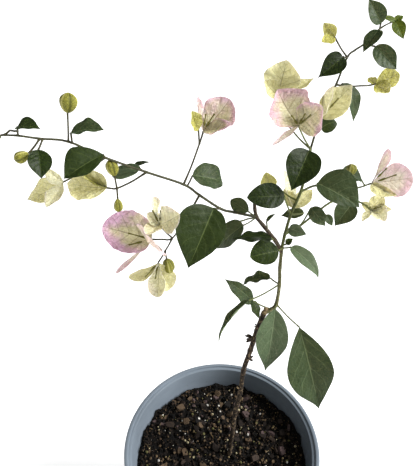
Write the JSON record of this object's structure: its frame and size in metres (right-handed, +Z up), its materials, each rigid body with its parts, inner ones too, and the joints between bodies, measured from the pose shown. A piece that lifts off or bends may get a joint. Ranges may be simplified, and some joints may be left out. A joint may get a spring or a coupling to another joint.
{
  "type": "potted bougainvillea bush",
  "caption": "Young flowering bougainvillea with a short woody trunk, thin spreading boughs, oval leaves and papery bracts, in a round tapered nursery pot of potting mix",
  "frame": {"origin": "centre of the flat underside of the pot, on the ground", "axes": "+Z up along the pot's axis; +X to the right and +Y to the back, seen from the side that the plant leans away from"},
  "size_m": [0.2597, 0.2043, 0.4376],
  "materials": {
    "blue_grey_plastic": "satin injection-moulded plastic",
    "potting_mix": "loose moist bark and peat mix",
    "old_bark": "rough brown bark",
    "green_bark": "smooth green young bark",
    "leaf": "satin dark green leaf",
    "bract": "papery cream and pink bract",
    "bud": "yellow-green closed bloom"
  },
  "bodies": {
    "root": {"pot": "blue_grey_plastic", "potting_mix": "potting_mix", "trunk": "old_bark", "green_stem": "green_bark", "brown_fork": "old_bark", "left_bough": "green_bark", "upright_bough": "green_bark", "top_bough": "green_bark", "right_shoot": "green_bark", "right_twig": "green_bark", "left_leaf_1": "leaf", "left_leaf_2": "leaf", "left_leaf_3": "leaf", "left_leaf_4": "leaf", "left_leaf_5": "leaf", "left_leaf_6": "leaf", "left_leaf_7": "leaf", "left_bloom_1": "bud", "left_bloom_2": "bud", "left_bloom_3": "bract", "left_bloom_4": "bract", "left_bloom_5": "bract", "left_bloom_6": "bract", "centre_leaf_1": "leaf", "centre_leaf_2": "leaf", "centre_leaf_3": "leaf", "centre_leaf_4": "leaf", "centre_leaf_5": "leaf", "centre_leaf_6": "leaf", "centre_leaf_7": "leaf", "centre_leaf_8": "leaf", "centre_leaf_9": "leaf", "centre_leaf_10": "leaf", "centre_leaf_11": "leaf", "centre_leaf_12": "leaf", "centre_leaf_13": "leaf", "centre_leaf_14": "leaf", "centre_bloom_1": "bract", "centre_bloom_2": "bract", "centre_bloom_3": "bract", "centre_bloom_4": "bract", "right_leaf_1": "leaf", "right_leaf_2": "leaf", "right_leaf_3": "leaf", "right_leaf_4": "leaf", "right_leaf_5": "leaf", "right_leaf_6": "leaf", "right_leaf_7": "leaf", "right_leaf_8": "leaf", "right_leaf_9": "leaf", "right_leaf_10": "leaf", "right_leaf_11": "leaf", "right_bloom_1": "bract", "right_bloom_2": "bract", "right_bloom_3": "bract", "right_bloom_4": "bud", "right_bloom_5": "bract", "right_bloom_6": "bract"}
  },
  "joints": []
}
